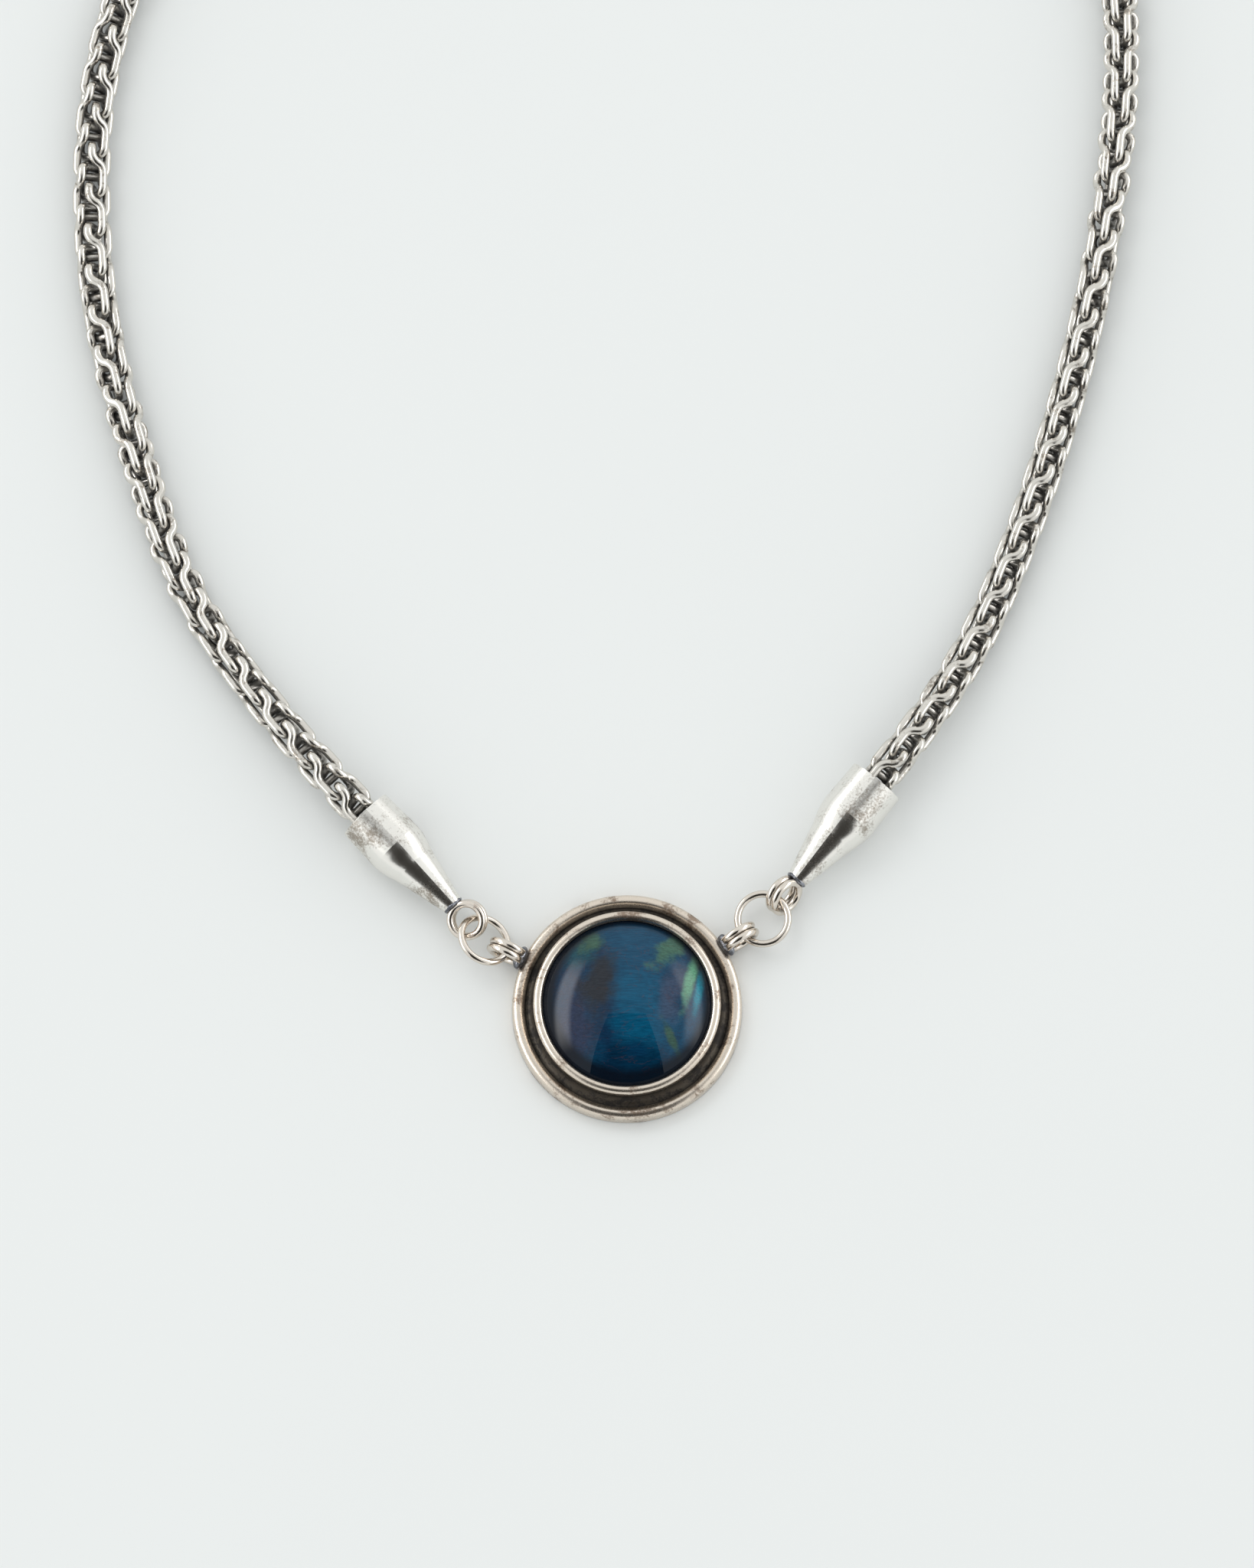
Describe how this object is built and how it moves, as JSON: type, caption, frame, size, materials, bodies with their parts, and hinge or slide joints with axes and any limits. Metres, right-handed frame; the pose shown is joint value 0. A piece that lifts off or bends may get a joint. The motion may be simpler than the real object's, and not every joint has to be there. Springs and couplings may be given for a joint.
{
  "type": "pendant necklace",
  "caption": "Necklace of interlocked twisted chain with bullet-shaped end caps, jump rings and a round domed stone in a bezel, closed by a lobster clasp.",
  "frame": {"origin": "middle of the pendant's flat back", "axes": "+Z out of the stone's face, +Y from the pendant towards the clasp, +X to the right of a person facing the stone"},
  "size_m": [0.1264, 0.2183, 0.0076],
  "materials": {
    "pendant_silver": "satin, antiqued",
    "dark_channel": "oxidised, mottled",
    "ring_silver": "polished, antiqued",
    "cap_silver": "polished, mottled patina",
    "chain_silver": "polished, dark recesses",
    "clasp_silver": "polished",
    "spring_steel": "bright drawn",
    "stone": "gloss, flashing blue and green"
  },
  "bodies": {
    "pendant": {"back_plate": "pendant_silver", "border_ring": "pendant_silver", "cove_ring": "dark_channel", "bezel": "pendant_silver", "stone_bed": "pendant_silver", "stone": "stone", "left_lug": "ring_silver", "right_lug": "ring_silver"},
    "left_front_ring": {"left_front_ring": "ring_silver"},
    "left_front_cap": {"left_front_cap": "cap_silver", "left_front_eye": "ring_silver", "left_front_cap_links": "chain_silver"},
    "left_chain_run_01": {"left_chain_run_01": "chain_silver"},
    "left_chain_run_02": {"left_chain_run_02": "chain_silver"},
    "left_chain_run_03": {"left_chain_run_03": "chain_silver"},
    "left_chain_run_04": {"left_chain_run_04": "chain_silver"},
    "left_chain_run_05": {"left_chain_run_05": "chain_silver"},
    "left_chain_run_06": {"left_chain_run_06": "chain_silver"},
    "left_chain_run_07": {"left_chain_run_07": "chain_silver"},
    "left_chain_run_08": {"left_chain_run_08": "chain_silver"},
    "left_chain_run_09": {"left_chain_run_09": "chain_silver"},
    "left_chain_run_10": {"left_chain_run_10": "chain_silver"},
    "left_back_cap": {"left_back_cap": "cap_silver", "left_back_eye": "ring_silver", "left_back_cap_links": "chain_silver"},
    "left_back_ring": {"left_back_ring": "ring_silver"},
    "right_front_ring": {"right_front_ring": "ring_silver"},
    "right_front_cap": {"right_front_cap": "cap_silver", "right_front_eye": "ring_silver", "right_front_cap_links": "chain_silver"},
    "right_chain_run_01": {"right_chain_run_01": "chain_silver"},
    "right_chain_run_02": {"right_chain_run_02": "chain_silver"},
    "right_chain_run_03": {"right_chain_run_03": "chain_silver"},
    "right_chain_run_04": {"right_chain_run_04": "chain_silver"},
    "right_chain_run_05": {"right_chain_run_05": "chain_silver"},
    "right_chain_run_06": {"right_chain_run_06": "chain_silver"},
    "right_chain_run_07": {"right_chain_run_07": "chain_silver"},
    "right_chain_run_08": {"right_chain_run_08": "chain_silver"},
    "right_chain_run_09": {"right_chain_run_09": "chain_silver"},
    "right_chain_run_10": {"right_chain_run_10": "chain_silver"},
    "right_back_cap": {"right_back_cap": "cap_silver", "right_back_eye": "ring_silver", "right_back_cap_links": "chain_silver"},
    "right_back_ring": {"right_back_ring": "ring_silver"},
    "clasp": {"clasp_body": "clasp_silver", "clasp_pin": "clasp_silver", "clasp_spring": "spring_steel"},
    "clasp_lever": {"clasp_lever": "clasp_silver"}
  },
  "joints": [
    {"name": "left_ring_lift", "type": "hinge", "parent": "pendant", "child": "left_front_ring", "pos_m": [-0.01427, 0.00641, 0.00197], "axis": [0.3723, 0.811, -0.4514], "range_deg": [0, 30]},
    {"name": "left_cap_lift", "type": "hinge", "parent": "left_front_ring", "child": "left_front_cap", "pos_m": [-0.01871, 0.01014, 0.00283], "axis": [0.626, 0.5981, -0.5005], "range_deg": [0, 30]},
    {"name": "right_ring_lift", "type": "hinge", "parent": "pendant", "child": "right_front_ring", "pos_m": [0.01366, 0.00863, 0.00216], "axis": [0.6299, -0.7763, -0.024], "range_deg": [0, 30]},
    {"name": "right_cap_lift", "type": "hinge", "parent": "right_front_ring", "child": "right_front_cap", "pos_m": [0.01793, 0.0127, 0.00267], "axis": [0.7469, -0.6648, -0.0102], "range_deg": [0, 30]},
    {"name": "clasp_lever_open", "type": "hinge", "parent": "clasp", "child": "clasp_lever", "pos_m": [0.03807, 0.19722, 0.00135], "axis": [0, 0, 1], "range_deg": [0, 30], "stiffness_Nm_per_rad": 0.002, "springref_deg": -20.05},
    {"name": "clasp_swing", "type": "hinge", "parent": "right_back_ring", "child": "clasp", "pos_m": [0.03867, 0.19319, 0.00245], "axis": [0, 0, 1], "range_deg": [-20, 20]},
    {"name": "right_back_ring_lift", "type": "hinge", "parent": "right_back_cap", "child": "right_back_ring", "pos_m": [0.04061, 0.18758, 0.00258], "axis": [0.945, 0.3271, 0], "range_deg": [0, 40]},
    {"name": "left_back_ring_lift", "type": "hinge", "parent": "left_back_cap", "child": "left_back_ring", "pos_m": [-0.03174, 0.17614, 0.00256], "axis": [0.8562, -0.5166, 0], "range_deg": [0, 40]},
    {"name": "left_run_01_turn", "type": "hinge", "parent": "left_front_cap", "child": "left_chain_run_01", "pos_m": [-0.0325, 0.02456, 0.00387], "axis": [0, 0, 1], "range_deg": [-3, 3]},
    {"name": "right_run_01_turn", "type": "hinge", "parent": "right_front_cap", "child": "right_chain_run_01", "pos_m": [0.0309, 0.02864, 0.00406], "axis": [0, 0, 1], "range_deg": [-3, 3]},
    {"name": "left_run_02_lift", "type": "hinge", "parent": "left_chain_run_01", "child": "left_chain_run_02", "pos_m": [-0.04204, 0.03574, 0.0028], "axis": [0.7874, 0.6164, 0], "range_deg": [0, 4]},
    {"name": "right_run_02_lift", "type": "hinge", "parent": "right_chain_run_01", "child": "right_chain_run_02", "pos_m": [0.03921, 0.04076, 0.00289], "axis": [0.8668, -0.4987, 0], "range_deg": [0, 4]},
    {"name": "left_run_03_turn", "type": "hinge", "parent": "left_chain_run_02", "child": "left_chain_run_03", "pos_m": [-0.05043, 0.04779, 0.0023], "axis": [0, 0, 1], "range_deg": [-3, 3]},
    {"name": "right_run_03_turn", "type": "hinge", "parent": "right_chain_run_02", "child": "right_chain_run_03", "pos_m": [0.04544, 0.05405, 0.0023], "axis": [0, 0, 1], "range_deg": [-3, 3]},
    {"name": "left_run_04_lift", "type": "hinge", "parent": "left_chain_run_03", "child": "left_chain_run_04", "pos_m": [-0.05616, 0.0613, 0.0023], "axis": [0.9502, 0.3116, 0], "range_deg": [0, 4]},
    {"name": "right_run_04_lift", "type": "hinge", "parent": "right_chain_run_03", "child": "right_chain_run_04", "pos_m": [0.05027, 0.06793, 0.0023], "axis": [0.9556, -0.2948, 0], "range_deg": [0, 4]},
    {"name": "left_run_05_turn", "type": "hinge", "parent": "left_chain_run_04", "child": "left_chain_run_05", "pos_m": [-0.06036, 0.07538, 0.0023], "axis": [0, 0, 1], "range_deg": [-3, 3]},
    {"name": "right_run_05_turn", "type": "hinge", "parent": "right_chain_run_04", "child": "right_chain_run_05", "pos_m": [0.05413, 0.08212, 0.0023], "axis": [0, 0, 1], "range_deg": [-3, 3]},
    {"name": "left_run_06_lift", "type": "hinge", "parent": "left_chain_run_05", "child": "left_chain_run_06", "pos_m": [-0.0629, 0.08985, 0.0023], "axis": [0.9956, 0.0938, 0], "range_deg": [0, 4]},
    {"name": "right_run_06_lift", "type": "hinge", "parent": "right_chain_run_05", "child": "right_chain_run_06", "pos_m": [0.0569, 0.09655, 0.0023], "axis": [0.9888, -0.1496, 0], "range_deg": [0, 4]},
    {"name": "left_run_07_turn", "type": "hinge", "parent": "left_chain_run_06", "child": "left_chain_run_07", "pos_m": [-0.06325, 0.10453, 0.0023], "axis": [0, 0, 1], "range_deg": [-3, 3]},
    {"name": "right_run_07_turn", "type": "hinge", "parent": "right_chain_run_06", "child": "right_chain_run_07", "pos_m": [0.05846, 0.11116, 0.0023], "axis": [0, 0, 1], "range_deg": [-3, 3]},
    {"name": "left_run_08_lift", "type": "hinge", "parent": "left_chain_run_07", "child": "left_chain_run_08", "pos_m": [-0.06097, 0.11902, 0.0023], "axis": [0.9643, -0.265, 0], "range_deg": [0, 4]},
    {"name": "right_run_08_lift", "type": "hinge", "parent": "right_chain_run_07", "child": "right_chain_run_08", "pos_m": [0.05816, 0.12584, 0.0023], "axis": [0.9956, 0.094, 0], "range_deg": [0, 4]},
    {"name": "left_run_09_turn", "type": "hinge", "parent": "left_chain_run_08", "child": "left_chain_run_09", "pos_m": [-0.05592, 0.13281, 0.0023], "axis": [0, 0, 1], "range_deg": [-3, 3]},
    {"name": "right_run_09_turn", "type": "hinge", "parent": "right_chain_run_08", "child": "right_chain_run_09", "pos_m": [0.0558, 0.14034, 0.0023], "axis": [0, 0, 1], "range_deg": [-3, 3]},
    {"name": "left_run_10_lift", "type": "hinge", "parent": "left_chain_run_09", "child": "left_chain_run_10", "pos_m": [-0.04941, 0.14599, 0.00276], "axis": [0.8826, -0.4701, 0], "range_deg": [0, 4]},
    {"name": "right_run_10_lift", "type": "hinge", "parent": "right_chain_run_09", "child": "right_chain_run_10", "pos_m": [0.05196, 0.15453, 0.00284], "axis": [0.9563, 0.2923, 0], "range_deg": [0, 4]},
    {"name": "left_back_cap_turn", "type": "hinge", "parent": "left_chain_run_10", "child": "left_back_cap", "pos_m": [-0.0422, 0.1588, 0.00387], "axis": [0, 0, 1], "range_deg": [-3, 3]},
    {"name": "right_back_cap_turn", "type": "hinge", "parent": "right_chain_run_10", "child": "right_back_cap", "pos_m": [0.04724, 0.16845, 0.00407], "axis": [0, 0, 1], "range_deg": [-3, 3]}
  ]
}
